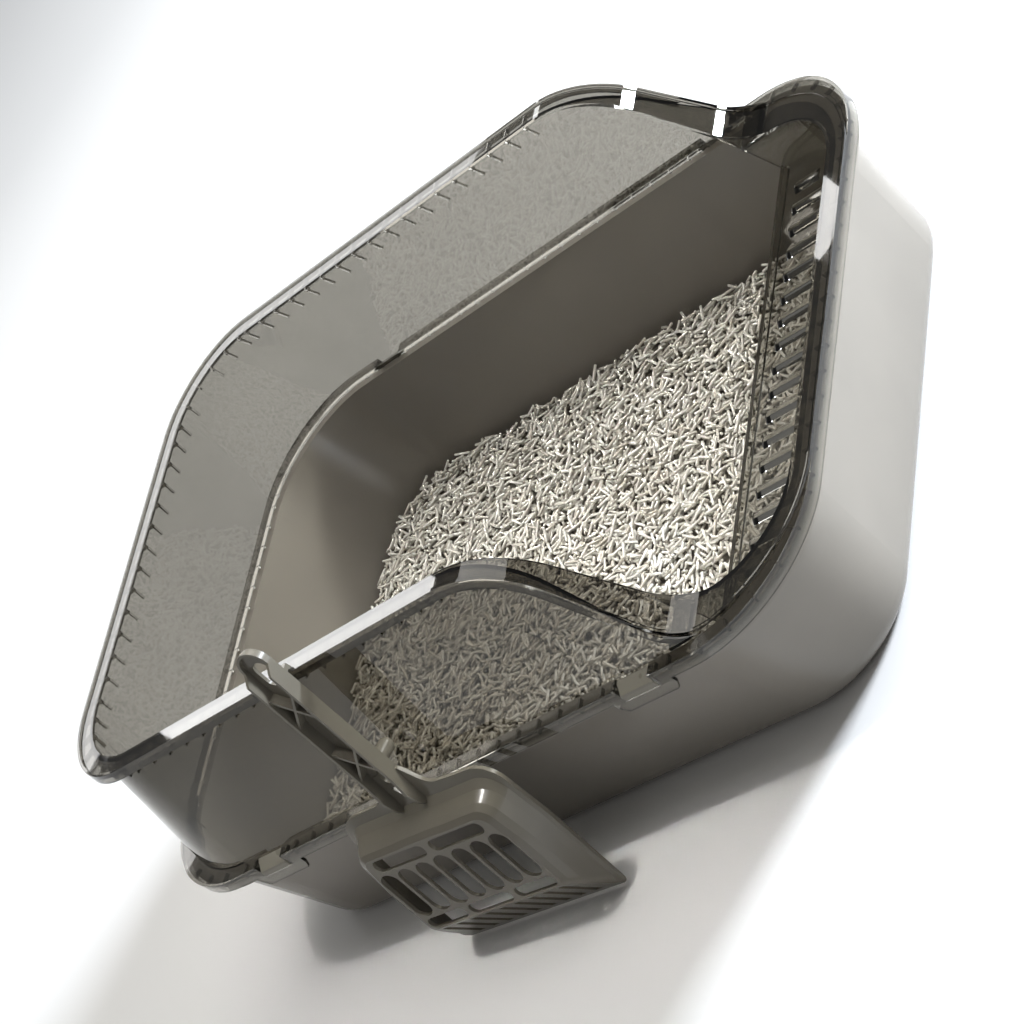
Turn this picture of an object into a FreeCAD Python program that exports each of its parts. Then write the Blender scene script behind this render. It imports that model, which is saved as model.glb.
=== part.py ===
import FreeCAD, Part
import math
import os

# Cat litter box with a clear splash hood, all lengths in millimetres.
# +X is the low entry end, -Y is the long side that carries the scoop, +Z is up.
# Origin: middle of the pan's underside.

# ---- driving dimensions -------------------------------------------------
PAN_BOTTOM = (254.0, 174.0, 62.0)      # half length, half width, corner radius at z = 0
PAN_TOP = (270.0, 190.0, 78.0)         # same, outside of the wall at the rim
PAN_HEIGHT = 99.0
PAN_WALL = 2.5
PAN_FLOOR = 3.0
PAN_FOOT_FILLET = 14.0
RIM_EDGE = (276.5, 196.5, 78.5)
RIM_THICK = 2.5
RIM_LIP_BOTTOM = 91.5
RIM_LIP_THICK = 2.0

HOOD_TOP = 201.5
BASE_TOP = 104.3                       # upper face of the hood's base flange
PLATE = 2.5                            # thickness of the hood's flanges and shelf
HOOD_WALL = 2.5
WALL_TOP = (245.0, 165.7, 60.5)        # outside of the hood wall at HOOD_TOP
WALL_BOTTOM = (271.7, 191.5, 83.0)     # outside of the hood wall at the base flange
EDGE_TOP = (255.7, 176.4, 68.0)        # outer edge of the top flange
EDGE_BOTTOM = (280.0, 200.0, 81.0)     # outer edge of the base flange
HOLE_TOP = (242.5, 163.2, 58.0)        # inner edge of the top flange
EDGE_FOOT = (280.0, 188.0, 81.0)       # outer edge of the shoulder flange where it lands
HOLE_BOTTOM = (264.5, 162.5, 55.0)     # inner edge of the entry band
HOLE_SHELF = (260.5, 161.0, 54.0)      # inside of the entry lining at the shelf
LINING_WALL = 2.2
BAND_START = 189.0                     # x from which the base flange widens to the entry band
SKIRT_BOTTOM = 95.5
SKIRT_THICK = 2.0
LIP_DROP = 6.0
BEAD_RISE = 1.2
LIP_THICK = 2.0

CURVE_START = 112.0                    # x where the hood's shoulder starts to fall
CURVE_RADIUS = 58.0
CURVE_ANGLE = 65.0
FOOT_RADIUS = 34.0

SHELF_TOP = 78.0
SHELF_EDGE = 198.0                     # x of the shelf's free edge
SHELF_RIB_RADIUS = 6.0
WING_TOP = (178.0, 140.0)              # x, z of the lining's slanted free edge
RIB_PITCH = 17.0
RIB_THICK = 1.2
# inset from the top flange's edge, drop: shallow under the flange, then down the hood wall
TOP_GUSSET = [(12.3, 0), (1.0, 0), (1.0, 4.5), (7.7, 4.5), (5.5, 12.5), (9.0, 12.5)]

CLIP_X = 161.0
CLIP_HALF = 12.2
CLIP_PIVOT = (194.4, 101.6)            # distance from the centre plane, height
WINDOW_INNER = 192.0                   # inner edge of the clip's window in the base flange
PIN_RADIUS = 1.0
PIN_HOLE = 1.3
TAB_TOP_HALF = 22.0
TAB_BOTTOM_HALF = 18.5
TAB_BOTTOM = 86.5

LITTER_TOP = 20.0

SCOOP_ORIGIN = (-14.0, -177.2, 232.0)  # top of the handle, on its back face
SCOOP_LEAN = 12.5                      # degrees the handle leans away from the wall
SCOOP_TURN = -3.2                      # degrees the scoop is turned about the vertical
BOWL_TIP = 235.5                       # distance of the scoop's tip from the handle's top
PLATE_END = 206.2                      # where the front plate ends and the slanted comb begins
BOWL_DEPTH = 21.0
BOWL_WALL = 2.2
RIM_DEPTH = 2.4
HANDLE_HALF = 11.5
HANDLE_DEPTH = 10.0

os.makedirs("parts", exist_ok=True)


# ---- helpers ------------------------------------------------------------
def vec(x, y, z):
    return FreeCAD.Vector(x, y, z)


def box(x0, x1, y0, y1, z0, z1):
    return Part.makeBox(x1 - x0, y1 - y0, z1 - z0, vec(x0, y0, z0))


def rounded_wire(size, z):
    a, b, r = size
    k = r * math.sqrt(0.5)
    edges = []
    for sx, sy, swap in ((1, 1, False), (-1, 1, True), (-1, -1, False), (1, -1, True)):
        cx = sx * (a - r)
        cy = sy * (b - r)
        ends = [vec(cx + sx * r, cy, z), vec(cx, cy + sy * r, z)]
        if swap:
            ends.reverse()
        arc = Part.Arc(ends[0], vec(cx + sx * k, cy + sy * k, z), ends[1])
        edges.append((ends, arc.toShape()))
    ring = []
    for i, (ends, arc) in enumerate(edges):
        following = edges[(i + 1) % 4][0][0]
        ring.append(arc)
        ring.append(Part.makeLine(ends[1], following))
    return Part.Wire(ring)


def blend(low, high, share):
    return tuple(p + (q - p) * share for p, q in zip(low, high))


def grown(size, amount):
    return tuple(v + amount for v in size)


def skin(sections):
    return Part.makeLoft([rounded_wire(size, z) for size, z in sections], True, True)


def prism(size, z0, z1):
    return skin([(size, z0), (size, z1)])


def ring(outer, inner, z0, z1):
    return prism(outer, z0, z1).cut(prism(inner, z0 - 1, z1 + 1))


def fused(shapes):
    return shapes[0].multiFuse(shapes[1:]).removeSplitter()


def polygon(points):
    return Part.Face(Part.makePolygon(points + [points[0]]))


# ---- pan ----------------------------------------------------------------
def pan_size(z, inset):
    return grown(blend(PAN_BOTTOM, PAN_TOP, z / PAN_HEIGHT), -inset)


def low_edges(shape, z):
    return [e for e in shape.Edges if abs(e.BoundBox.ZMax - z) < 0.01 and e.BoundBox.ZLength < 0.01]


def make_pan():
    outside = skin([(pan_size(0, 0), 0), (pan_size(PAN_HEIGHT, 0), PAN_HEIGHT)])
    outside = outside.makeFillet(PAN_FOOT_FILLET, low_edges(outside, 0))
    inside = skin([(pan_size(PAN_FLOOR, PAN_WALL), PAN_FLOOR),
                   (pan_size(PAN_HEIGHT + 1, PAN_WALL), PAN_HEIGHT + 1)])
    inside = inside.makeFillet(PAN_FOOT_FILLET - PAN_WALL, low_edges(inside, PAN_FLOOR))
    rim = prism(RIM_EDGE, PAN_HEIGHT - RIM_THICK, PAN_HEIGHT)
    lip = ring(RIM_EDGE, grown(RIM_EDGE, -RIM_LIP_THICK), RIM_LIP_BOTTOM, PAN_HEIGHT)
    return outside.fuse(rim).cut(inside).fuse(lip).removeSplitter()


# ---- hood ---------------------------------------------------------------
def family(top, bottom, inset, z_low, z_high):
    """Skin that follows the drafted hood, and runs straight down below the base flange."""
    def at(z):
        return grown(blend(bottom, top, max(0, z - BASE_TOP) / (HOOD_TOP - BASE_TOP)), inset)
    levels = sorted({z_low, max(z_low, BASE_TOP), z_high})
    return skin([(at(z), z) for z in levels])


def shoulder_edges(offset):
    """Side view line of the hood's edge, pushed down by offset."""
    t = math.radians(CURVE_ANGLE)
    r1 = CURVE_RADIUS - offset
    r2 = FOOT_RADIUS + offset
    c1 = vec(CURVE_START, 0, HOOD_TOP - CURVE_RADIUS)

    def on_first(angle):
        return vec(c1.x + r1 * math.sin(angle), 0, c1.z + r1 * math.cos(angle))
    full = CURVE_RADIUS
    z_a = c1.z + full * math.cos(t)
    z_b = BASE_TOP + FOOT_RADIUS * (1 - math.cos(t))
    run = (z_a - z_b) / math.tan(t)
    c2 = vec(c1.x + (full + FOOT_RADIUS) * math.sin(t) + run, 0, BASE_TOP + FOOT_RADIUS)

    def on_second(angle):
        return vec(c2.x - r2 * math.sin(angle), 0, c2.z - r2 * math.cos(angle))
    first = Part.Arc(on_first(0), on_first(t / 2), on_first(t)).toShape()
    second = Part.Arc(on_second(t), on_second(t / 2), on_second(0)).toShape()
    return [Part.makeLine(vec(-320, 0, HOOD_TOP - offset), on_first(0)),
            first,
            Part.makeLine(on_first(t), on_second(t)),
            second,
            Part.makeLine(on_second(0), vec(320, 0, BASE_TOP - offset))]


def side_band(upper, lower):
    """Solid between two offsets of the shoulder line, across the whole width."""
    top = shoulder_edges(upper)
    low = shoulder_edges(lower)
    left = Part.makeLine(vec(-320, 0, HOOD_TOP - lower), vec(-320, 0, HOOD_TOP - upper))
    right = Part.makeLine(vec(320, 0, BASE_TOP - upper), vec(320, 0, BASE_TOP - lower))
    wire = Part.Wire(Part.__sortEdges__(top + [right] + low + [left]))
    face = Part.Face(wire)
    face.translate(vec(0, -230, 0))
    return face.extrude(vec(0, 460, 0))


def below_shoulder(upper, floor):
    top = shoulder_edges(upper)
    sides = [Part.makeLine(vec(320, 0, BASE_TOP - upper), vec(320, 0, floor)),
             Part.makeLine(vec(320, 0, floor), vec(-320, 0, floor)),
             Part.makeLine(vec(-320, 0, floor), vec(-320, 0, HOOD_TOP - upper))]
    face = Part.Face(Part.Wire(Part.__sortEdges__(top + sides)))
    face.translate(vec(0, -230, 0))
    return face.extrude(vec(0, 460, 0))


def opening_skin(inset):
    """Inside of the hood's opening: the entry lining up to the band, then the drafted flange edge."""
    z_high = HOOD_TOP + 3
    share = (z_high - BASE_TOP) / (HOOD_TOP - BASE_TOP)
    steps = [(HOLE_SHELF, SHELF_TOP - PLATE), (HOLE_BOTTOM, BASE_TOP)]
    steps.append((blend(HOLE_BOTTOM, HOLE_TOP, share), z_high))
    return skin([(grown(size, inset), z) for size, z in steps])


def shelf_ribs():
    """Low rounded ribs across the outer part of the shelf."""
    ribs = []
    count = int(150 // RIB_PITCH)
    above = box(200, 260, -200, 200, SHELF_TOP - 0.2, SHELF_TOP + 5)
    for i in range(-count, count + 1):
        y = i * RIB_PITCH
        reach = 254.0 if abs(y) < 110 else 254.0 - (abs(y) - 110) * 0.9
        start = vec(SHELF_EDGE + 14, y, SHELF_TOP + 2.2 - SHELF_RIB_RADIUS)
        ribs.append(Part.makeCylinder(SHELF_RIB_RADIUS, reach - start.x, start, vec(1, 0, 0)).common(above))
    return ribs


def edge_ribs(size, top, profile):
    """Thin gussets spaced along a rounded rectangle, drawn as (inset from the edge, drop) points."""
    a, b, r = size
    half = RIB_THICK / 2

    def rib(distance, along, turn, centre):
        outline = [vec(distance - inset, 0, top - drop) for inset, drop in profile]
        body = polygon(outline).extrude(vec(0, RIB_THICK, 0))
        body.translate(vec(0, along - half, 0))
        body.rotate(vec(0, 0, 0), vec(0, 0, 1), turn)
        body.translate(vec(centre[0], centre[1], 0))
        return body
    ribs = []
    count_x = int((a - r) // RIB_PITCH)
    count_y = int((b - r) // RIB_PITCH)
    for i in range(-count_x, count_x + 1):
        ribs += [rib(b, i * RIB_PITCH, turn, (0, 0)) for turn in (90, 270)]
    for i in range(-count_y, count_y + 1):
        ribs += [rib(a, i * RIB_PITCH, turn, (0, 0)) for turn in (0, 180)]
    for sx, sy, start in ((1, 1, 0), (-1, 1, 90), (-1, -1, 180), (1, -1, 270)):
        centre = (sx * (a - r), sy * (b - r))
        ribs += [rib(r, 0, start + 7.5 + 15 * k, centre) for k in range(6)]
    return ribs


def clip_window(x, side):
    y0, y1 = sorted((side * WINDOW_INNER, side * 203.0))
    return box(x - CLIP_HALF - 0.4, x + CLIP_HALF + 0.4, y0, y1, 94.0, 107.0)


def hood_tab(x, side):
    pts = [vec(x - TAB_TOP_HALF, 0, SKIRT_BOTTOM + 1), vec(x + TAB_TOP_HALF, 0, SKIRT_BOTTOM + 1),
           vec(x + TAB_TOP_HALF, 0, SKIRT_BOTTOM - 4), vec(x + TAB_BOTTOM_HALF, 0, TAB_BOTTOM),
           vec(x - TAB_BOTTOM_HALF, 0, TAB_BOTTOM), vec(x - TAB_TOP_HALF, 0, SKIRT_BOTTOM - 4)]
    tab = polygon(pts).extrude(vec(0, SKIRT_THICK, 0))
    y = side * EDGE_BOTTOM[1] - (SKIRT_THICK if side > 0 else 0)
    tab.translate(vec(0, y, 0))
    return tab


def hinge_bosses(x, side):
    bosses = []
    y0, y1 = sorted((side * WINDOW_INNER, side * 197.0))
    for end in (-1, 1):
        near = x + end * (CLIP_HALF + 0.4)
        x0, x1 = sorted((near, near + end * 4.0))
        bosses.append(box(x0, x1, y0, y1, PAN_HEIGHT + 0.4, BASE_TOP))
    return bosses


def pin_hole(x, side):
    q, z = CLIP_PIVOT
    return Part.makeCylinder(PIN_HOLE, 2 * CLIP_HALF + 5.2, vec(x - CLIP_HALF - 2.6, side * q, z),
                             vec(1, 0, 0))


def make_hood():
    strip = side_band(0, PLATE)
    edge_outer = family(EDGE_TOP, EDGE_FOOT, 0, 95, HOOD_TOP + 3)
    edge_inner = family(EDGE_TOP, EDGE_FOOT, -LIP_THICK, 95, HOOD_TOP + 3)
    hole = opening_skin(0)
    flange = strip.common(edge_outer).cut(hole)
    lip = side_band(-BEAD_RISE, LIP_DROP).common(edge_outer.cut(edge_inner))
    lip = lip.common(box(-320, 320, -230, 230, BASE_TOP - PLATE, HOOD_TOP + 3))

    under = below_shoulder(0.5, BASE_TOP - PLATE)
    wall = family(WALL_TOP, WALL_BOTTOM, 0, BASE_TOP - PLATE, HOOD_TOP - 0.2)
    wall = wall.cut(family(WALL_TOP, WALL_BOTTOM, -HOOD_WALL, BASE_TOP - PLATE - 1, HOOD_TOP + 1))
    wall = wall.common(under)

    base = ring(EDGE_BOTTOM, grown(WALL_BOTTOM, -HOOD_WALL), BASE_TOP - PLATE, BASE_TOP)
    band = prism(EDGE_BOTTOM, BASE_TOP - PLATE, BASE_TOP).cut(hole)
    band = band.common(box(BAND_START, 320, -230, 230, 90, 120))
    skirt = ring(EDGE_BOTTOM, grown(EDGE_BOTTOM, -SKIRT_THICK), SKIRT_BOTTOM, BASE_TOP)

    wing = [vec(WING_TOP[0], -230, WING_TOP[1]), vec(320, -230, WING_TOP[1]),
            vec(320, -230, SHELF_TOP - PLATE), vec(SHELF_EDGE, -230, SHELF_TOP - PLATE)]
    wing_zone = polygon(wing).extrude(vec(0, 460, 0))
    lining = opening_skin(LINING_WALL).cut(hole)
    lining = lining.common(wing_zone).common(below_shoulder(0.5, 40))

    shelf_outline = prism(grown(HOLE_SHELF, LINING_WALL), SHELF_TOP - PLATE, SHELF_TOP)
    shelf = shelf_outline.common(box(SHELF_EDGE, 320, -230, 230, 40, 90))
    bead_zone = prism(grown(HOLE_SHELF, 1.0), SHELF_TOP - PLATE - 1.5, SHELF_TOP + 2.0)
    bead = bead_zone.common(box(SHELF_EDGE, SHELF_EDGE + 3.0, -230, 230, 40, 90))
    drop = BASE_TOP - 1.0 - PAN_HEIGHT - 0.4
    under_base = edge_ribs(EDGE_BOTTOM, BASE_TOP - 1.0, [(8.5, 0), (1, 0), (1, drop), (8.5, drop)])
    top_ribs = edge_ribs(EDGE_TOP, HOOD_TOP - 1.0, TOP_GUSSET)
    keep_top = box(-320, CURVE_START, -230, 230, 185, HOOD_TOP)
    top_ribs = [r for r in top_ribs if keep_top.isInside(r.CenterOfMass, 0.1, True)]

    pieces = [flange, lip, wall, base, band, skirt, lining, shelf, bead]
    pieces += shelf_ribs() + under_base + top_ribs
    sites = [(x, side) for side in (-1, 1) for x in (-CLIP_X, CLIP_X)]
    for x, side in sites:
        pieces.append(hood_tab(x, side))
        pieces += hinge_bosses(x, side)
    hood = pieces[0].multiFuse(pieces[1:])
    for x, side in sites:
        hood = hood.cut(clip_window(x, side)).cut(pin_hole(x, side))
    return hood.removeSplitter()


# ---- clips --------------------------------------------------------------
def make_clip(x, side):
    section = [(192.9, 103.7), (200.3, 99.8), (200.7, 98.6), (200.7, 95.4), (199.9, 94.6),
               (197.1, 94.6), (197.1, 99.7), (192.9, 99.7)]
    pts = [vec(x - CLIP_HALF, side * q, z) for q, z in section]
    body = polygon(pts).extrude(vec(2 * CLIP_HALF, 0, 0))
    q, z = CLIP_PIVOT
    pin = Part.makeCylinder(PIN_RADIUS, 2 * CLIP_HALF + 4.0, vec(x - CLIP_HALF - 2.0, side * q, z),
                            vec(1, 0, 0))
    return body.fuse(pin).removeSplitter()


# ---- litter -------------------------------------------------------------
def make_litter():
    low = PAN_FLOOR + 0.4
    bed = skin([(pan_size(low, PAN_WALL + 1), low), (pan_size(LITTER_TOP, PAN_WALL + 1), LITTER_TOP)])
    return bed.makeFillet(PAN_FOOT_FILLET - PAN_WALL, low_edges(bed, low))


# ---- scoop, built flat: u across, w down the handle, d away from the box --
def outline(half, d):
    """Closed outline of rounded corners, symmetric about u = 0, from (u, w, radius) points."""
    points = half + [(-u, w, r) for u, w, r in reversed(half)]
    corners = [vec(u, w, d) for u, w, r in points]
    starts, edges = [], []
    for i, (u, w, r) in enumerate(points):
        here = corners[i]
        back = (corners[i - 1] - here).normalize()
        ahead = (corners[(i + 1) % len(corners)] - here).normalize()
        half_turn = (math.pi - back.getAngle(ahead)) / 2
        length = r * math.tan(half_turn)
        start = here + back * length
        end = here + ahead * length
        bisector = (back + ahead).normalize()
        middle = here + bisector * (r / math.cos(half_turn) - r)
        starts.append(start)
        edges.append((Part.Arc(start, middle, end).toShape(), end))
    loop = []
    for i, (arc, end) in enumerate(edges):
        loop.append(arc)
        loop.append(Part.makeLine(end, starts[(i + 1) % len(starts)]))
    return Part.Wire(loop)


def bowl_ring(inset, level):
    """Half outline of the bowl at one depth: (depth, half width, neck, shoulder, corner)."""
    depth, half, neck, shoulder, corner = level
    tip = BOWL_TIP - (BOWL_TIP - PLATE_END) * depth / BOWL_DEPTH
    u = half - inset
    return [(12.0, neck + inset, 3.0),
            (18.0 + neck / 30, (neck + 9 * shoulder) / 10 + inset, 12.0),
            (u - 4.0, shoulder + inset, corner - inset),
            (u, 172.0, 60.0),
            (u, tip - 0.4 * inset, 5.0 - inset)]


def bowl_solid(inset):
    """Bowl with a flat rim at its back, a steep rounded wall and a flat front plate."""
    levels = [(0.0, 72.0, 106.0, 126.0, 17.0),
              (RIM_DEPTH, 72.0, 106.0, 126.0, 17.0),
              (RIM_DEPTH + 1, 69.5, 131.0, 131.5, 16.0),
              (8.0, 67.5, 135.0, 135.5, 14.0),
              (15.0, 64.8, 138.0, 138.5, 12.0),
              (19.0, 61.8, 140.5, 141.0, 10.0),
              (BOWL_DEPTH, 58.0, 144.0, 144.5, 8.0)]
    rings = [outline(bowl_ring(inset, level), level[0] - inset) for level in levels]
    return Part.makeLoft(rings, True, True)


def slot(u0, u1, w0, w1):
    """Rounded opening cut through the front plate."""
    r = min(u1 - u0, w1 - w0) / 2
    depth = 14.0
    d0 = BOWL_DEPTH - 7.0
    if u1 - u0 > w1 - w0:
        body = Part.makeBox(u1 - u0 - 2 * r, 2 * r, depth, vec(u0 + r, w0, d0))
        ends = [(u0 + r, w0 + r), (u1 - r, w0 + r)]
    else:
        body = Part.makeBox(2 * r, w1 - w0 - 2 * r, depth, vec(u0, w0 + r, d0))
        ends = [(u0 + r, w0 + r), (u0 + r, w1 - r)]
    caps = [Part.makeCylinder(r, depth, vec(u, w, d0)) for u, w in ends]
    return body.multiFuse(caps)


def bowl_slots():
    cuts = [slot(-48.6, -2.7, 146.2, 155.2), slot(2.7, 48.6, 146.2, 155.2)]
    for i in range(-3, 4):
        cuts.append(slot(i * 16.3 - 6.95, i * 16.3 + 6.95, 157.6, 194.8))
    for u0, u1 in ((-56, -22.5), (-18.5, 18.5), (22.5, 56)):
        cuts.append(slot(u0, u1, 197.0, 205.0))
    for i in range(-4, 5):
        cuts.append(Part.makeBox(5.4, 23.0, BOWL_DEPTH + 6, vec(i * 12.9 - 2.7, 208.5, -3)))
    return cuts


def cross_rib(w):
    ribs = []
    half = HANDLE_HALF - 1.0
    for sign in (-1, 1):
        start = vec(-half, w - sign * 12, 0)
        end = vec(half, w + sign * 12, 0)
        run = end - start
        rib = Part.makeBox(run.Length, 1.6, HANDLE_DEPTH - 2.5, vec(0, -0.8, 1))
        angle = math.degrees(math.atan2(run.y, run.x))
        rib.rotate(vec(0, 0, 0), vec(0, 0, 1), angle)
        rib.translate(start)
        ribs.append(rib)
    return ribs


def handle_pieces():
    end = vec(0, HANDLE_HALF, 0)
    web = Part.makeBox(2 * HANDLE_HALF, 112, 2, vec(-HANDLE_HALF, HANDLE_HALF, 0))
    cap = Part.makeCylinder(HANDLE_HALF, 2, end)
    cap_rim = Part.makeCylinder(HANDLE_HALF, 4.5, end).cut(Part.makeCylinder(HANDLE_HALF - 1.8, 6, end))
    cap_rim = cap_rim.common(Part.makeBox(40, HANDLE_HALF, 10, vec(-20, 0, 0)))
    pieces = [web, cap, cap_rim]
    for side in (-1, 1):
        u0 = min(side * HANDLE_HALF, side * (HANDLE_HALF - 2.0))
        profile = [vec(u0, 11.5, 0), vec(u0, 11.5, 4.5), vec(u0, 17, HANDLE_DEPTH),
                   vec(u0, 108, HANDLE_DEPTH), vec(u0, 120, HANDLE_DEPTH + 1.0),
                   vec(u0, 129, HANDLE_DEPTH - 1.0), vec(u0, 133, HANDLE_DEPTH - 4.0),
                   vec(u0, 133, RIM_DEPTH), vec(u0, 120, RIM_DEPTH - 1), vec(u0, 115, 0)]
        pieces.append(polygon(profile).extrude(vec(2.0, 0, 0)))
    pieces += cross_rib(43) + cross_rib(90)
    return pieces


def place_scoop(shape):
    lean = math.radians(SCOOP_LEAN)
    turn = math.radians(SCOOP_TURN)
    u = vec(-math.cos(turn), -math.sin(turn), 0)
    w = vec(math.sin(lean) * math.sin(turn), -math.sin(lean) * math.cos(turn), -math.cos(lean))
    d = u.cross(w)
    o = SCOOP_ORIGIN
    m = FreeCAD.Matrix(u.x, w.x, d.x, o[0], u.y, w.y, d.y, o[1], u.z, w.z, d.z, o[2], 0, 0, 0, 1)
    placed = shape.copy()
    placed.Placement = FreeCAD.Placement(m).multiply(placed.Placement)
    return placed


def make_scoop():
    bowl = bowl_solid(0).cut(bowl_solid(BOWL_WALL)).cut(fused(bowl_slots()))
    scoop = bowl.multiFuse(handle_pieces())
    hanging_hole = Part.makeBox(11, 7, 12, vec(-5.5, 15, -3))
    hanging_hole = hanging_hole.fuse(Part.makeCylinder(5.5, 12, vec(0, 15, -3)))
    hanging_hole = hanging_hole.fuse(Part.makeCylinder(5.5, 12, vec(0, 22, -3)))
    oval = Part.makeCylinder(4.0, 12, vec(0, 106, -3)).fuse(Part.makeCylinder(4.0, 12, vec(0, 110, -3)))
    oval = oval.fuse(Part.makeBox(8, 4, 12, vec(-4, 106, -3)))
    notch = polygon([vec(-5, 117, -3), vec(5, 117, -3), vec(0, 126, -3)]).extrude(vec(0, 0, 12))
    scoop = scoop.cut(hanging_hole).cut(oval).cut(notch)
    stand_off = Part.makeCylinder(5.0, 10.0, vec(-5, 98, -9.5), vec(0, 0, 1))
    stand_off = stand_off.fuse(Part.makeSphere(5.0, vec(-5, 98, -9.5)))
    scoop = place_scoop(scoop.fuse(stand_off))
    hook = box(-22, -13, -184.4, -171.6, 203.1, 205.9)
    nib = box(-22, -13, -173.9, -171.6, 201.9, 203.4)
    return scoop.multiFuse([hook, nib]).removeSplitter()


# ---- export -------------------------------------------------------------
make_pan().exportStep("parts/litter_pan.step")
make_hood().exportStep("parts/splash_hood.step")
make_clip(-CLIP_X, -1).exportStep("parts/rim_clip_front_left.step")
make_clip(CLIP_X, -1).exportStep("parts/rim_clip_front_right.step")
make_clip(-CLIP_X, 1).exportStep("parts/rim_clip_back_left.step")
make_clip(CLIP_X, 1).exportStep("parts/rim_clip_back_right.step")
make_litter().exportStep("parts/litter_bed.step")
make_scoop().exportStep("parts/litter_scoop.step")
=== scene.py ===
import math

import bpy
import numpy as np
from mathutils import Matrix, Vector


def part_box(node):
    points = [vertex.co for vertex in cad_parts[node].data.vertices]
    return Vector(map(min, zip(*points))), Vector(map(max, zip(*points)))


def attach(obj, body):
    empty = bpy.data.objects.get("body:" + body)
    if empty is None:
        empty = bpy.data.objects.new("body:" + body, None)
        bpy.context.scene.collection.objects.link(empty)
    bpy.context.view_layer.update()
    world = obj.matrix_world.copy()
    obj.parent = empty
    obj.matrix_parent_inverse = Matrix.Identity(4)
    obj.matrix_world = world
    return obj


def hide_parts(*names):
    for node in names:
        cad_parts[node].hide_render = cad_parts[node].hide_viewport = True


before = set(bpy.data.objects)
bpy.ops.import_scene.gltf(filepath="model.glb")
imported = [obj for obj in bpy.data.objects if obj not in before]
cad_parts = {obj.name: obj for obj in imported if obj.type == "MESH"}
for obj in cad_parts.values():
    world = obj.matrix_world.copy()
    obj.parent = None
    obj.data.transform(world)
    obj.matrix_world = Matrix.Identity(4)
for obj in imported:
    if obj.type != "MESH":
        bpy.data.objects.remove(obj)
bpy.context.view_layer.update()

# Looks of the cat litter box with a smoked clear hood, all lengths in metres.
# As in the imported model, +X is the low entry end, -Y the side with the scoop, and +Z is up.

MM = 0.001

# ---- camera --------------------------------------------------------------
CAMERA_TARGET = Vector((-0.0022, -0.0024, 0.0861))
CAMERA_AZIMUTH = math.radians(49.1)
CAMERA_ELEVATION = math.radians(26.8)
CAMERA_ROLL = math.radians(-57.8)
CAMERA_DISTANCE = 1.5877
CAMERA_LENS = 93.27
CAMERA_SENSOR = 36.0

# ---- studio --------------------------------------------------------------
COOL = (0.85, 0.915, 1.0)
WARM = (1.0, 0.985, 0.95)
MIDDLE = (0, 0, 0.08)
# name, place, aim, (width, height), watts, colour
LAMPS = (("key", (1.92, 2.06, 0.97), MIDDLE, (0.7, 0.34), 235, COOL),
         ("overhead", (0.25, 0.6, 2.2), MIDDLE, (2.2, 1.9), 39, WARM))
BEAM_HEIGHT = 2.2
BEAM_SIZE = (0.45, 0.3)
BEAM_POWER = 0.55
BEAM_SPREAD = math.radians(14)
WORLD_COLOUR = (1.0, 0.99, 0.97)
WORLD_STRENGTH = 0.17
WINDOW_DISTANCE = 1.8
# name, distance right of the camera's line, height, (width, height), watts
WINDOWS = (("window_front", -0.314, 1.06, (0.36, 0.28), 1.8),
           ("window_band", 0.571, 1.167, (0.10, 0.125), 0.24),
           ("window_back", -0.074, 0.81, (1.14, 0.19), 1.9))
FLOOR_HALF = 5.0
FLOOR_DROP = 0.2 * MM                  # keeps the floor just clear of the pan's underside
FLOOR_COLOUR = (0.93, 0.925, 0.915)

# ---- plastics ------------------------------------------------------------
PAN_GREY = (0.205, 0.188, 0.162)
SCOOP_TAUPE = (0.135, 0.123, 0.099)
CLIP_TAUPE = (0.20, 0.187, 0.155)
GRAIN = 0.012 * MM
WAVES = 0.10 * MM
SMOKE = (0.235, 0.222, 0.195)          # tint of the hood's wall and flanges
SMOKE_PALE = (0.60, 0.59, 0.55)        # tint of the thinner lining and step below them
PALE_BELOW = 96 * MM
SMOKE_ABOVE = 103 * MM

# ---- litter --------------------------------------------------------------
PELLET_SEED = 7
PELLET_RADIUS = (0.8 * MM, 1.0 * MM)
PELLET_LENGTH = (6.5 * MM, 11.5 * MM)
PELLET_COVER = 1.3                     # how many times over the pellets would cover the bed
PELLET_TRIES = 3                       # places tried for each pellet
PELLET_DEPTH = 8.0 * MM                # depth of the layer of loose pellets
PELLET_SIDES = 6
PELLET_PIECES = 4
PELLET_BREAK = 0.45                    # slant of a broken end, in radii
# one ring of a pellet: which end, inset from it in radii, width in radii
PELLET_RINGS = ((-1, 0, 0.72), (-1, 0.35, 1), (1, 0.35, 1), (1, 0, 0.72))
ALONG_SAMPLES = 12
ACROSS_SAMPLES = 5
ACROSS_REACH = 0.85                    # how far out across a pellet it is sampled, in radii
STEEPEST = 0.5                         # slope of the steepest pellet
WALL_GAP = 2.0 * MM
HEIGHT_CELL = 0.6 * MM                 # cell of the height map, and its margin around the bed
HEIGHT_MARGIN = 10 * MM
PAINTED_SHADE_DEPTH = 5.0 * MM                   # how far below the crest the painted shade between the pellets reaches its darkest
# height above the bed's underside, inset from its edge
CORE_FOOT = ((4 * MM, 6 * MM), (7 * MM, 3.5 * MM))
CORE_TOP_INSET = 2.5 * MM
CORE_OVERLAP = 0.3 * MM


# ---- camera, lights and floor --------------------------------------------
def camera_ground_axes():
    """Level directions: to the camera's right before its roll, and towards the camera."""
    sine, cosine = math.sin(CAMERA_AZIMUTH), math.cos(CAMERA_AZIMUTH)
    return Vector((cosine, sine, 0)), Vector((sine, -cosine, 0))


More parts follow.
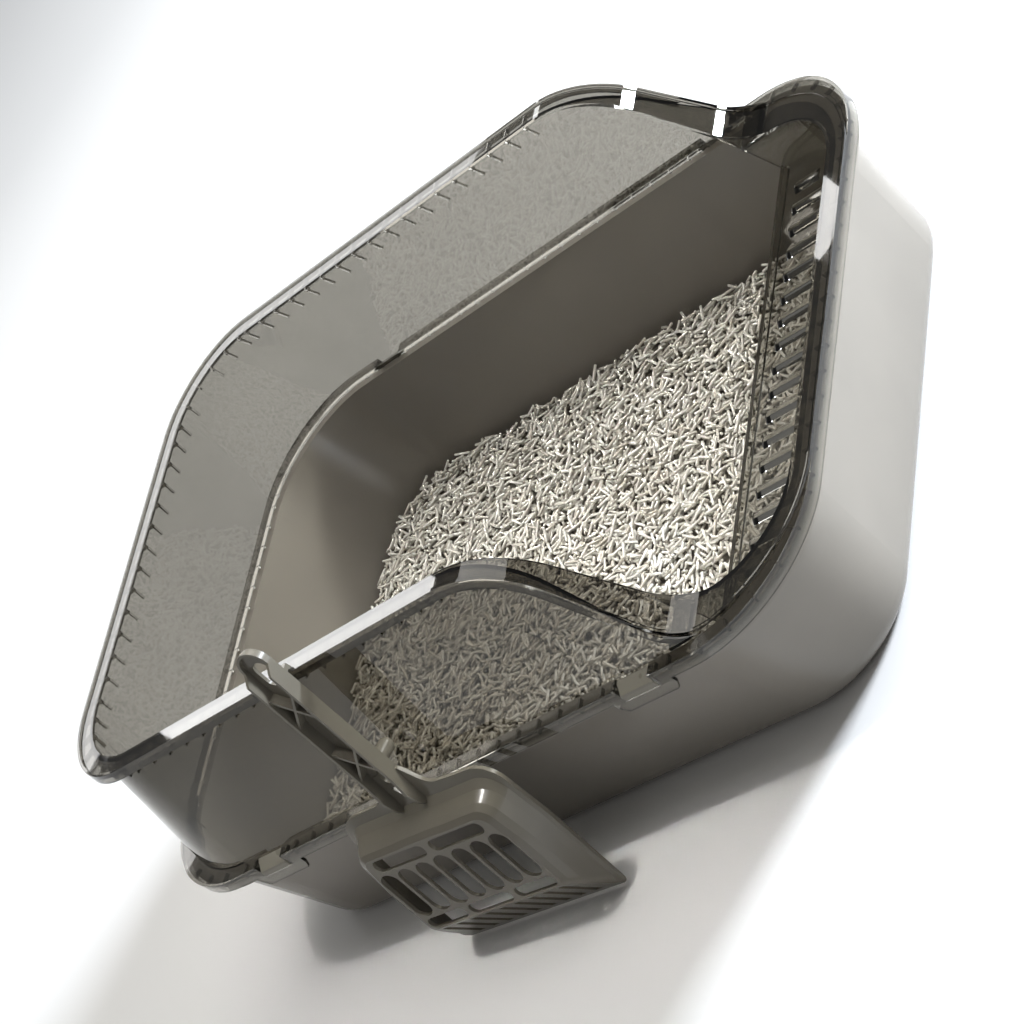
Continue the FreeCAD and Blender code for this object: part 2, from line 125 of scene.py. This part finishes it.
def make_camera():
    level, ahead = camera_ground_axes()
    lift = Vector((0, 0, math.sin(CAMERA_ELEVATION)))
    back = ahead * math.cos(CAMERA_ELEVATION) + lift
    upward = back.cross(level)
    right = level * math.cos(CAMERA_ROLL) + upward * math.sin(CAMERA_ROLL)
    up = back.cross(right)
    data = bpy.data.cameras.new("camera")
    data.sensor_width = CAMERA_SENSOR
    data.lens = CAMERA_LENS
    camera = bpy.data.objects.new("camera", data)
    bpy.context.scene.collection.objects.link(camera)
    turn = Matrix((right, up, back)).transposed().to_4x4()
    camera.matrix_world = Matrix.Translation(CAMERA_TARGET + back * CAMERA_DISTANCE) @ turn
    bpy.context.scene.camera = camera


def area_light(name, place, aim, size, power, colour=(1, 1, 1), spread=math.pi):
    data = bpy.data.lights.new(name, "AREA")
    data.shape = "RECTANGLE"
    data.size, data.size_y = size
    data.energy = power
    data.color = colour
    data.spread = spread
    light = bpy.data.objects.new(name, data)
    bpy.context.scene.collection.objects.link(light)
    light.location = place
    light.rotation_euler = (Vector(aim) - Vector(place)).to_track_quat("-Z", "Y").to_euler()


def make_lights():
    for name, place, aim, size, power, colour in LAMPS:
        area_light(name, place, aim, size, power, colour)
    above = (0, 0, BEAM_HEIGHT)
    area_light("beam", above, (0, 0, 0), BEAM_SIZE, BEAM_POWER, WARM, BEAM_SPREAD)
    make_windows()
    world = bpy.data.worlds.new("studio")
    world.use_nodes = True
    background = world.node_tree.nodes["Background"]
    background.inputs["Color"].default_value = (*WORLD_COLOUR, 1)
    background.inputs["Strength"].default_value = WORLD_STRENGTH
    bpy.context.scene.world = world
    bpy.context.scene.view_settings.view_transform = "Standard"


def make_windows():
    """Bright panes behind the box, where its flat flanges mirror them to the camera."""
    level, ahead = camera_ground_axes()
    for name, across, height, size, power in WINDOWS:
        place = level * across - ahead * WINDOW_DISTANCE + Vector((0, 0, height))
        area_light(name, place, place + ahead, size, power)


def make_floor():
    corners = [(x * FLOOR_HALF, y * FLOOR_HALF, 0) for x, y in ((-1, -1), (1, -1), (1, 1), (-1, 1))]
    mesh = bpy.data.meshes.new("floor")
    mesh.from_pydata(corners, [], [(0, 1, 2, 3)])
    floor = bpy.data.objects.new("floor", mesh)
    bpy.context.scene.collection.objects.link(floor)
    floor.location.z = -FLOOR_DROP
    shader = Shader("studio_floor")
    shader.set("Base Color", (*FLOOR_COLOUR, 1))
    shader.set("Roughness", 0.75)
    mesh.materials.append(shader.material)


# ---- materials -----------------------------------------------------------
class Shader:
    """A Principled material and the few node links that every finish here needs."""

    def __init__(self, name):
        self.material = bpy.data.materials.new(name)
        self.material.use_nodes = True
        self.nodes = self.material.node_tree.nodes
        self.links = self.material.node_tree.links
        self.main = self.nodes["Principled BSDF"]
        self.output = self.nodes["Material Output"]
        self.place = self.nodes.new("ShaderNodeTexCoord").outputs["Object"]

    def set(self, socket, value):
        self.main.inputs[socket].default_value = value

    def feed(self, socket, source):
        self.links.new(source, self.main.inputs[socket])

    def noise(self, scale, detail=4.0, roughness=0.55):
        node = self.nodes.new("ShaderNodeTexNoise")
        node.inputs["Scale"].default_value = scale
        node.inputs["Detail"].default_value = detail
        node.inputs["Roughness"].default_value = roughness
        self.links.new(self.place, node.inputs["Vector"])
        return node.outputs["Fac"]

    def height(self):
        node = self.nodes.new("ShaderNodeSeparateXYZ")
        self.links.new(self.place, node.inputs["Vector"])
        return node.outputs["Z"]

    def ranged(self, source, low, high, start, end):
        """The source's span from start to end, mapped to low to high."""
        node = self.nodes.new("ShaderNodeMapRange")
        node.inputs["From Min"].default_value = start
        node.inputs["From Max"].default_value = end
        node.inputs["To Min"].default_value = low
        node.inputs["To Max"].default_value = high
        self.links.new(source, node.inputs["Value"])
        return node.outputs["Result"]

    def ramp(self, source, stops):
        node = self.nodes.new("ShaderNodeValToRGB")
        ramp = node.color_ramp
        while len(ramp.elements) < len(stops):
            ramp.elements.new(0.5)
        for element, (at, colour) in zip(ramp.elements, stops):
            element.position = at
            element.color = (*colour, 1)
        self.links.new(source, node.inputs["Fac"])
        return node.outputs["Color"]

    def multiplied(self, share, first, second):
        """The first colour, darkened by the second by the given share."""
        node = self.nodes.new("ShaderNodeMix")
        node.data_type = "RGBA"
        node.blend_type = "MULTIPLY"
        sockets = {socket.name: socket for socket in node.inputs if socket.enabled}
        sockets["Factor"].default_value = share
        self.links.new(first, sockets["A"])
        self.links.new(second, sockets["B"])
        return [socket for socket in node.outputs if socket.enabled][0]

    def bump(self, height, distance, strength=1.0, below=None):
        node = self.nodes.new("ShaderNodeBump")
        node.inputs["Strength"].default_value = strength
        node.inputs["Distance"].default_value = distance
        self.links.new(height, node.inputs["Height"])
        if below is not None:
            self.links.new(below, node.inputs["Normal"])
        return node.outputs["Normal"]


def moulded_plastic(name, colour, roughness):
    """Moulded plastic: faint flow shading, a fine spark-eroded grain and uneven gloss."""
    shader = Shader(name)
    dark = tuple(c * 0.93 for c in colour)
    light = tuple(c * 1.06 for c in colour)
    flow = shader.noise(9.0, 3.0, 0.5)
    shader.feed("Base Color", shader.ramp(flow, [(0.3, dark), (0.7, light)]))
    haze = shader.noise(40.0, 3.0, 0.5)
    shader.feed("Roughness", shader.ranged(haze, roughness - 0.03, roughness + 0.04, 0.3, 0.7))
    waves = shader.bump(shader.noise(18.0, 2.0, 0.5), WAVES)
    shader.feed("Normal", shader.bump(shader.noise(900.0, 3.0, 0.6), GRAIN, below=waves))
    shader.set("IOR", 1.5)
    return shader


def smoked_clear():
    """Clear tinted plastic, thinner and paler below the base flange, that lets lamps through."""
    shader = Shader("hood_smoke")
    shader.set("Transmission Weight", 1.0)
    shader.set("IOR", 1.49)
    share = shader.ranged(shader.height(), 0.0, 1.0, PALE_BELOW, SMOKE_ABOVE)
    tint = shader.ramp(share, [(0.0, SMOKE_PALE), (1.0, SMOKE)])
    streaks = shader.ramp(shader.noise(14.0, 3.0, 0.5), [(0.35, (0.95,) * 3), (0.65, (1.0,) * 3)])
    shader.feed("Base Color", shader.multiplied(1.0, tint, streaks))
    haze = shader.noise(90.0, 4.0, 0.6)
    shader.feed("Roughness", shader.ranged(haze, 0.0, 0.05, 0.35, 0.75))
    shader.feed("Normal", shader.bump(shader.noise(16.0, 2.0, 0.5), WAVES))
    low_face, high_face = (tuple(math.sqrt(c) for c in tone) for tone in (SMOKE_PALE, SMOKE))
    let_lamps_through(shader, shader.ramp(share, [(0.0, low_face), (1.0, high_face)]))
    return shader


def let_lamps_through(shader, colour):
    """Lamps shine straight through each face of the plastic, tinted by the colour."""
    clear = shader.nodes.new("ShaderNodeBsdfTransparent")
    shader.links.new(colour, clear.inputs["Color"])
    path = shader.nodes.new("ShaderNodeLightPath")
    mix = shader.nodes.new("ShaderNodeMixShader")
    shader.links.new(path.outputs["Is Shadow Ray"], mix.inputs["Fac"])
    shader.links.new(shader.main.outputs["BSDF"], mix.inputs[1])
    shader.links.new(clear.outputs["BSDF"], mix.inputs[2])
    shader.links.new(mix.outputs["Shader"], shader.output.inputs["Surface"])


def pellet_finish(crest):
    """Dry pressed pellets: each its own tone, fibrous and rough, and darkened by painted shade the
    lower they lie below the crest.
    """
    shader = Shader("pellet_skin_and_painted_shade")
    # Painted shade: the colour fades towards near black below the crest, standing in for the shade
    # between and under the pellets.
    depth = shader.ranged(shader.height(), 0.0, 1.0, crest - PAINTED_SHADE_DEPTH, crest)
    painted_gap_shade = shader.ramp(depth, [(0.0, (0.03, 0.026, 0.02)), (0.55, (0.35, 0.33, 0.29)),
                               (1.0, (1.0, 1.0, 1.0))])
    island = shader.nodes.new("ShaderNodeNewGeometry").outputs["Random Per Island"]
    tone = shader.ramp(island, [(0.0, (0.62, 0.58, 0.51)), (0.3, (0.76, 0.73, 0.67)),
                                (0.8, (0.83, 0.81, 0.76)), (1.0, (0.88, 0.865, 0.82))])
    specks = shader.ramp(shader.noise(900.0, 4.0, 0.7), [(0.35, (0.78, 0.76, 0.72)),
                                                         (0.6, (1.0, 1.0, 1.0))])
    skin = shader.multiplied(0.8, tone, specks)
    shader.feed("Base Color", shader.multiplied(1.0, skin, painted_gap_shade))
    shader.feed("Roughness", shader.ranged(shader.noise(700.0), 0.7, 0.95, 0.3, 0.7))
    shader.feed("Normal", shader.bump(shader.noise(1500.0, 4.0, 0.7), 0.12 * MM, 0.8))
    return shader


def paint(node, shader):
    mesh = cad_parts[node].data
    mesh.materials.clear()
    mesh.materials.append(shader.material)


def finish_cad_nodes():
    paint("litter_pan", moulded_plastic("pan_grey", PAN_GREY, 0.20))
    paint("splash_hood", smoked_clear())
    paint("litter_scoop", moulded_plastic("scoop_taupe", SCOOP_TAUPE, 0.22))
    clips = moulded_plastic("clip_taupe", CLIP_TAUPE, 0.28)
    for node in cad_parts:
        if node.startswith("rim_clip"):
            paint(node, clips)


# ---- litter --------------------------------------------------------------
def bed_outline():
    """The bed's top edge as a ring of points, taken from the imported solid."""
    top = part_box("litter_bed")[1].z
    ring = [v.co.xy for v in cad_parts["litter_bed"].data.vertices if v.co.z > top - 0.01 * MM]
    ring = np.array(sorted(ring, key=lambda p: math.atan2(p.y, p.x)))
    keep = np.linalg.norm(ring - np.roll(ring, 1, 0), axis=1) > 0.05 * MM
    return ring[keep]


def depth_inside(points, ring):
    """How far each point lies inside a convex ring of points."""
    following = np.roll(ring, -1, 0)
    run = following - ring
    inward = np.stack([-run[:, 1], run[:, 0]], 1) / np.linalg.norm(run, axis=1)[:, None]
    return ((points[:, None, :] - ring[None]) * inward[None]).sum(2).min(1)


class Pile:
    """A height map on which pellets come to rest one by one, each in the lowest of a few places.

    Each pellet is sampled at a grid of cells along and across it, and it lies on the highest.
    """

    def __init__(self, low, high, level):
        self.low = low
        cells = np.ceil((high - low) / HEIGHT_CELL).astype(int) + 1
        self.height = np.full(cells, level)
        self.along = np.linspace(-0.5, 0.5, ALONG_SAMPLES)
        self.across = np.linspace(-ACROSS_REACH, ACROSS_REACH, ACROSS_SAMPLES)
        self.crown = np.sqrt(1 - self.across ** 2)

    def cells(self, xy):
        at = ((xy - self.low) / HEIGHT_CELL).round().astype(int)
        return at[..., 0], at[..., 1]

    def settle(self, centres, headings, length, radius):
        """Resting slope and level at each candidate place, and the cells below it."""
        sides = np.stack([-headings[:, 1], headings[:, 0]], 1)
        grid = (centres[:, None, None, :]
                + (self.along * length)[None, :, None, None] * headings[:, None, None, :]
                + (self.across * radius)[None, None, :, None] * sides[:, None, None, :])
        where = self.cells(grid)
        need = (self.height[where] + radius * self.crown).max(2)
        slope, level = resting_lines(self.along * length, need)
        return slope, level, where

    def drop(self, centres, headings, length, radius):
        """Lay one pellet in its lowest place, and raise the height map by it."""
        slope, level, where = self.settle(centres, headings, length, radius)
        best = int(level.argmin())
        axis = level[best] + slope[best] * self.along * length
        where = (where[0][best], where[1][best])
        top = axis[:, None] + radius * self.crown
        self.height[where] = np.maximum(self.height[where], top)
        return best, level[best], slope[best], where, axis + radius

    def seen(self, where, crest, radius):
        """The share of a pellet's length that later pellets left uncovered."""
        middle = ACROSS_SAMPLES // 2
        return (crest + 0.5 * radius > self.height[where][:, middle]).mean()


def resting_lines(along, need):
    """For each candidate, the lowest straight line that its supports on both sides can hold."""
    left, right = along < 0, along > 0
    run = along[right][None, :] - along[left][:, None]
    slopes = (need[:, None, right] - need[:, left, None]) / run[None]
    levels = need[:, left, None] - slopes * along[left][None, :, None]
    flat = levels.reshape(len(need), -1).argmax(1)
    slope = slopes.reshape(len(need), -1)[np.arange(len(need)), flat]
    slope = np.clip(slope, -STEEPEST, STEEPEST)
    level = (need - slope[:, None] * along[None, :]).max(1)
    return slope, level


def drop_pellets(ring, top):
    """Place, direction, length and radius of every pellet that can be seen."""
    rng = np.random.default_rng(PELLET_SEED)
    pile = Pile(ring.min(0) - HEIGHT_MARGIN, ring.max(0) + HEIGHT_MARGIN, top - PELLET_DEPTH)
    area = np.prod(ring.max(0) - ring.min(0))
    count = int(PELLET_COVER * area / (sum(PELLET_LENGTH) / 2 * sum(PELLET_RADIUS)))
    shape = (count, PELLET_TRIES)
    centres = rng.uniform(ring.min(0), ring.max(0), (*shape, 2))
    angles = rng.uniform(0, math.pi, shape)
    headings = np.stack([np.cos(angles), np.sin(angles)], -1)
    lengths = rng.uniform(*PELLET_LENGTH, count)
    radii = rng.uniform(*PELLET_RADIUS, count)
    reach = headings * lengths[:, None, None] / 2
    inside = np.minimum(depth_inside((centres + reach).reshape(-1, 2), ring),
                        depth_inside((centres - reach).reshape(-1, 2), ring)).reshape(shape)
    rested = []
    for i in range(count):
        free = np.flatnonzero(inside[i] > WALL_GAP)
        if len(free):
            best, *rest = pile.drop(centres[i, free], headings[i, free], lengths[i], radii[i])
            rested.append((i, free[best], *rest))
    pellets = []
    for i, j, level, slope, where, crest in rested:
        if pile.seen(where, crest, radii[i]) > 0:
            direction = Vector((*headings[i, j], slope)).normalized()
            pellets.append((Vector((*centres[i, j], level)), direction, lengths[i], radii[i]))
    return pellets, rng


def cross_axes(direction):
    side = direction.cross(Vector((0, 0, 1))).normalized()
    lift = side.cross(direction)
    return np.array(side), np.array(lift)


def pellet_mesh(name, pellets, rng):
    """All the pellets of one piece: short rods with bevelled rims and slanting broken ends."""
    turn = np.arange(PELLET_SIDES) / PELLET_SIDES * 2 * math.pi
    cos, sin = np.cos(turn), np.sin(turn)
    points, faces, smooth = [], [], []
    for place, direction, length, radius in pellets:
        side, lift = cross_axes(direction)
        first = len(points) * PELLET_SIDES
        cut = rng.uniform(-PELLET_BREAK, PELLET_BREAK, 2) * radius
        for end, inset, width in PELLET_RINGS:
            slant = cut[0 if end < 0 else 1] * cos
            along = end * (length / 2 - inset * radius) + slant
            points.append(np.array(place) + along[:, None] * np.array(direction)
                          + width * radius * (cos[:, None] * side + sin[:, None] * lift))
        last = len(PELLET_RINGS) - 1
        for level in range(last):
            base = first + level * PELLET_SIDES
            for k in range(PELLET_SIDES):
                following = (k + 1) % PELLET_SIDES
                faces.append((base + k, base + following,
                              base + PELLET_SIDES + following, base + PELLET_SIDES + k))
                smooth.append(True)
        faces.append(tuple(first + k for k in reversed(range(PELLET_SIDES))))
        faces.append(tuple(first + last * PELLET_SIDES + k for k in range(PELLET_SIDES)))
        smooth += [False, False]
    mesh = bpy.data.meshes.new(name)
    mesh.from_pydata(np.concatenate(points), [], faces)
    mesh.polygons.foreach_set("use_smooth", smooth)
    mesh.update()
    return mesh


def bed_core(ring, low, top):
    """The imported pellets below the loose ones, as one closed body."""
    levels = [(low + rise, inset) for rise, inset in CORE_FOOT] + [(top, CORE_TOP_INSET)]
    rings = []
    for z, inset in levels:
        shrink = 1 - inset / np.abs(ring).max(0)
        rings.append([(x * shrink[0], y * shrink[1], z) for x, y in ring])
    n = len(ring)
    points = [p for r in rings for p in r]
    faces = [(b + k, b + (k + 1) % n, b + n + (k + 1) % n, b + n + k)
             for b in (0, n) for k in range(n)]
    faces.append(tuple(reversed(range(n))))
    faces.append(tuple(2 * n + k for k in range(n)))
    mesh = bpy.data.meshes.new("litter_core")
    mesh.from_pydata(points, [], faces)
    mesh.update()
    return mesh


def make_litter():
    low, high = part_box("litter_bed")
    ring = bed_outline()
    pellets, rng = drop_pellets(ring, high.z)
    heights = sorted(place.z for place, *_ in pellets)
    finish = pellet_finish(heights[len(heights) // 2])
    # The core takes the pellets' finish, so the painted shade darkens it the further it lies below
    # the crest, standing in for shade deep in the pile.
    meshes = [bed_core(ring, low.z, high.z - PELLET_DEPTH + CORE_OVERLAP)]
    for k in range(PELLET_PIECES):
        meshes.append(pellet_mesh(f"litter_pellets_{k + 1}", pellets[k::PELLET_PIECES], rng))
    for mesh in meshes:
        mesh.materials.append(finish.material)
        piece = bpy.data.objects.new(mesh.name, mesh)
        bpy.context.scene.collection.objects.link(piece)
        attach(piece, "pan")
        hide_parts("litter_bed")


make_camera()
make_lights()
make_floor()
finish_cad_nodes()
make_litter()
